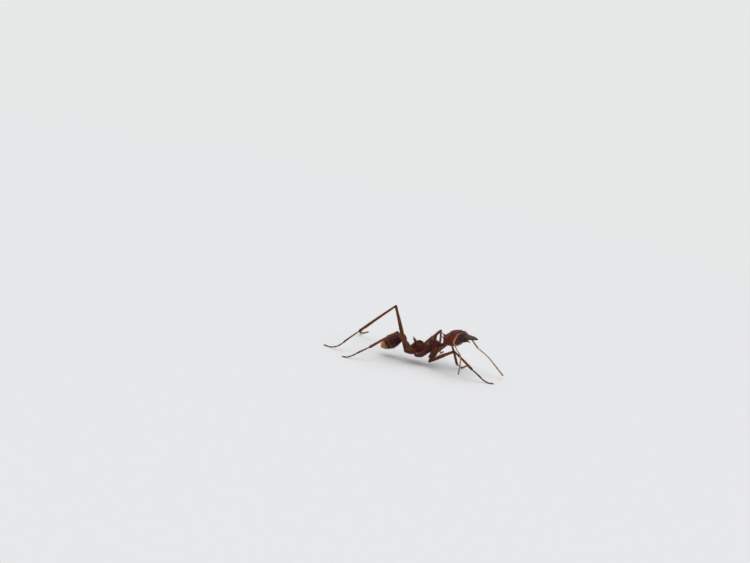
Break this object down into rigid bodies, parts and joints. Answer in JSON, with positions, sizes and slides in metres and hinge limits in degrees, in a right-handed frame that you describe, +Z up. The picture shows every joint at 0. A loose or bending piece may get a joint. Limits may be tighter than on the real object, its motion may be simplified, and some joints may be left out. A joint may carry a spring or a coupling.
{
  "type": "leafcutter ant",
  "caption": "Still life-size leafcutter ant worker, head raised, high hind knees, standing on small flat foot ends; each body segment and leg segment its own piece.",
  "frame": {"origin": "on the floor, under the middle of the whole ant, legs and feelers included", "axes": "+X is the way the ant faces, +Y its left side, +Z up from the floor"},
  "size_m": [0.0176, 0.014, 0.0056],
  "materials": {
    "head": "glossy dark mahogany cuticle, violet-black towards the face, finely netted and pitted",
    "eyes": "black compound eye of small domed facets",
    "mandibles": "hard dark brown cuticle, black along the teeth",
    "antennae": "amber brown cuticle with short pale down",
    "thorax": "satin dark mahogany cuticle, finely netted",
    "waist": "satin red brown cuticle",
    "gaster": "satin dark maroon cuticle with fine cross lines",
    "gaster_tip": "orange yellow end segments with pale membranes between",
    "coxae": "red brown cuticle",
    "legs": "amber brown cuticle, darker at the joints",
    "feet": "amber brown cuticle with dark claws",
    "setae": "stiff golden bristles"
  },
  "bodies": {
    "root": {"head": "head", "eye_right": "eyes", "eye_left": "eyes", "mandible_right": "mandibles", "mandible_left": "mandibles", "scape_right": "antennae", "funiculus_base_right": "antennae", "funiculus_tip_right": "antennae", "scape_left": "antennae", "funiculus_base_left": "antennae", "funiculus_tip_left": "antennae", "pronotum": "thorax", "mesothorax": "thorax", "propodeum": "thorax", "petiole": "waist", "postpetiole": "waist", "gaster": "gaster", "gaster_tip": "gaster_tip", "coxa_fore_right": "coxae", "femur_fore_right": "legs", "tibia_fore_right": "legs", "tarsus_fore_right": "feet", "coxa_fore_left": "coxae", "femur_fore_left": "legs", "tibia_fore_left": "legs", "tarsus_fore_left": "feet", "coxa_mid_right": "coxae", "femur_mid_right": "legs", "tibia_mid_right": "legs", "tarsus_mid_right": "feet", "coxa_mid_left": "coxae", "femur_mid_left": "legs", "tibia_mid_left": "legs", "tarsus_mid_left": "feet", "coxa_hind_right": "coxae", "femur_hind_right": "legs", "tibia_hind_right": "legs", "tarsus_hind_right": "feet", "coxa_hind_left": "coxae", "femur_hind_left": "legs", "tibia_hind_left": "legs", "tarsus_hind_left": "feet"}
  },
  "joints": []
}
